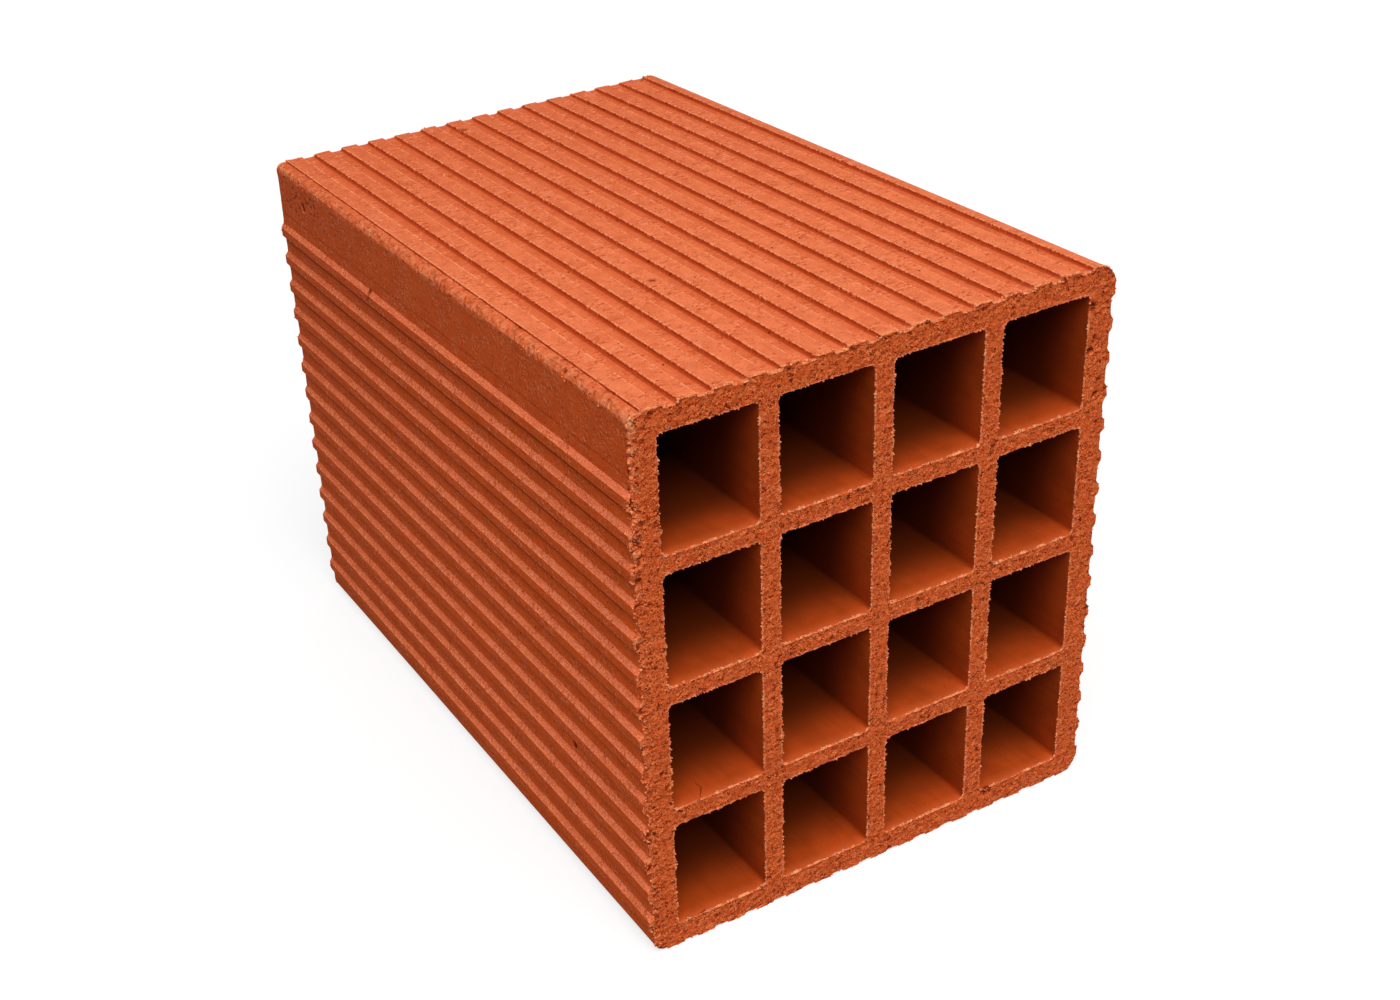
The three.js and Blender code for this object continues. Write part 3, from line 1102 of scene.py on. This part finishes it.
def crumb_chances(clay):
    """How likely each point carries a crumb, the crumb's radius, and how pale it may be."""
    x, y, z = clay.points.T
    on_rim = (clay.depth < ON_END) & clay.on_wall
    on_cell = on_rim & clay.inside
    toothed = on_cell & (np.abs(clay.normals[:, 0]) > 0.6)
    top_front = clay.on_wall & (z > TOP_STRIP[0] * MM) & (y < CAD_LOW.y + 2.5 * MM)
    top_rim = on_rim & (z > CAD_HIGH.z - 2 * MM)
    calm = (z < CAD_LOW.z + 3 * MM) | (x > CAD_HIGH.x - 3 * MM) | (clay.side > 0)
    chance = np.where(on_rim, 0.2 + 0.3 * clay.ledge, 0)
    shares = [(toothed, 0.45), (on_cell & (clay.ledge > 0.6), 0.7), (top_front, 0.16)]
    shares += [(top_rim, 0.7), (clay.on_cap, 0.06), (calm & on_rim, 0.06)]
    for where, share in shares:
        chance[where] = share
    chance = np.maximum(chance, np.maximum(0.45 * clay.crumbly, 0.08 * clay.strip))
    radius = np.where(clay.on_cap, 0.27, 0.32) + 0.3 * clay.crumbly
    radius += 0.1 * top_rim + 0.05 * toothed
    pale = np.where(clay.on_cap, 0.5, 0.9) + 0.5 * top_front - 0.2 * clay.strip
    return chance, radius * MM, pale


def turned_at_random(count, rng):
    """As many random rotation matrices."""
    q = rng.normal(size=(count, 4))
    w, x, y, z = unit(q).T
    rows = (
        (1 - 2 * (y * y + z * z), 2 * (x * y - z * w), 2 * (x * z + y * w)),
        (2 * (x * y + z * w), 1 - 2 * (x * x + z * z), 2 * (y * z - x * w)),
        (2 * (x * z - y * w), 2 * (y * z + x * w), 1 - 2 * (x * x + y * y)),
    )
    return np.array(rows).transpose(2, 0, 1)


def crumb_shape():
    """Points and triangles of a round crumb of radius 1."""
    ball = bmesh.new()
    bmesh.ops.create_icosphere(ball, subdivisions=1, radius=1)
    points = np.array([v.co for v in ball.verts])
    triangles = np.array([[v.index for v in f.verts] for f in ball.faces])
    ball.free()
    return points, triangles


CRUMB_SIZES = (0.6, 1.4)  # in their place's radius
CRUMB_CORNERS = (0.75, 1.25)  # how far their corners lie from the middle, in their radius
CRUMB_FLATNESS = (0.6, 1.0)  # how much each axis is kept
CRUMB_RISE = 0.3  # how far their middles stand out of the clay, in their radius
RIM_LEAN = 0.7  # how much the crumbs on a wall's rim stand out of the cut end too


def make_crumbs(clay, moved):
    """Angular crumbs, half sunk in the torn rims, cut faces and crumbling edges."""
    rng = np.random.default_rng(SEED + 1)
    chance, radius, palest = crumb_chances(clay)
    chosen = rng.random(len(moved)) < chance
    count = int(chosen.sum())
    size = radius[chosen] * rng.uniform(*CRUMB_SIZES, count)
    out = clay.normals[chosen]
    out[:, 1] += clay.side[chosen] * clay.on_wall[chosen] * RIM_LEAN
    centres = moved[chosen] + unit(out) * (CRUMB_RISE * size)[:, None]
    ball, faces = crumb_shape()
    shapes = ball[None] * rng.uniform(*CRUMB_CORNERS, (count, len(ball), 1))
    shapes = shapes * rng.uniform(*CRUMB_FLATNESS, (count, 1, 3)) * size[:, None, None]
    shapes = np.einsum("nij,nvj->nvi", turned_at_random(count, rng), shapes)
    places = boxed((centres[:, None] + shapes).reshape(-1, 3))
    triangles = faces[None] + (np.arange(count) * len(ball))[:, None, None]
    mesh = bpy.data.meshes.new("edge_crumbs")
    mesh.from_pydata(places.tolist(), [], triangles.reshape(-1, 3).tolist())
    add_value(mesh, "pale", np.repeat(palest[chosen] * rng.random(count), len(ball)))
    hang(mesh, (crumb_material(),))


# ---- Floor and light ----

FLOOR_SIZE = 8.0
FLOOR_GREY = 0.3
FLOOR_GLOW = 0.72  # added where the floor is seen, so that it is white outside the shadow
WORLD_LIGHT = 0.1


def make_floor():
    mesh = bpy.data.meshes.new("floor")
    half = FLOOR_SIZE / 2
    corners = [(-half, -half, 0), (half, -half, 0), (half, half, 0), (-half, half, 0)]
    mesh.from_pydata(corners, [], [(0, 1, 2, 3)])
    floor = new_object("floor", mesh)
    floor.location.z = CAD_LOW.z
    material = bpy.data.materials.new("pale_floor")
    mesh.materials.append(material)
    nodes = Nodes(material)
    grey = (FLOOR_GREY, FLOOR_GREY, FLOOR_GREY, 1)
    dull = {"Base Color": grey, "Roughness": 0.95, "Specular IOR Level": 0.0}
    surface = nodes.feed(nodes.tree.nodes["Principled BSDF"], dull)
    glow = nodes.node("Emission", {"Strength": nodes.product(nodes.seen_directly(), FLOOR_GLOW)})
    both = nodes.node("AddShader", {0: surface.outputs[0], 1: glow.outputs[0]})
    nodes.feed(nodes.tree.nodes["Material Output"], {"Surface": both.outputs[0]})


def make_world():
    world = bpy.data.worlds.new("studio")
    bpy.context.scene.world = world
    nodes = Nodes(world)
    strength = nodes.ramp(nodes.seen_directly(), 0.0, 1.0, start=WORLD_LIGHT, steps="LINEAR")
    light = {"Color": (1, 1, 1, 1), "Strength": strength}
    nodes.feed(nodes.tree.nodes["Background"], light)


def add_sky(name, towards, spread, level):
    """A broad soft light from far away. A level of 1 shows a colour that faces it as written."""
    light = bpy.data.lights.new(name, "SUN")
    light.angle = math.radians(spread)
    light.energy = level * math.pi
    lamp = new_object(name, light)
    lamp.rotation_mode = "QUATERNION"
    lamp.rotation_quaternion = Vector(towards).to_track_quat("Z", "Y")


def make_lights():
    add_sky("key", (-0.2, -0.5, 0.84), 46, 1.04)
    add_sky("fill", (0.68, 0.72, 0.04), 60, 0.34)  # for the sides that the key leaves in shade


# ---- Assembly ----

make_camera()
make_world()
make_floor()
make_lights()
make_crumbs(*make_block())
bpy.context.scene.view_settings.view_transform = "Standard"
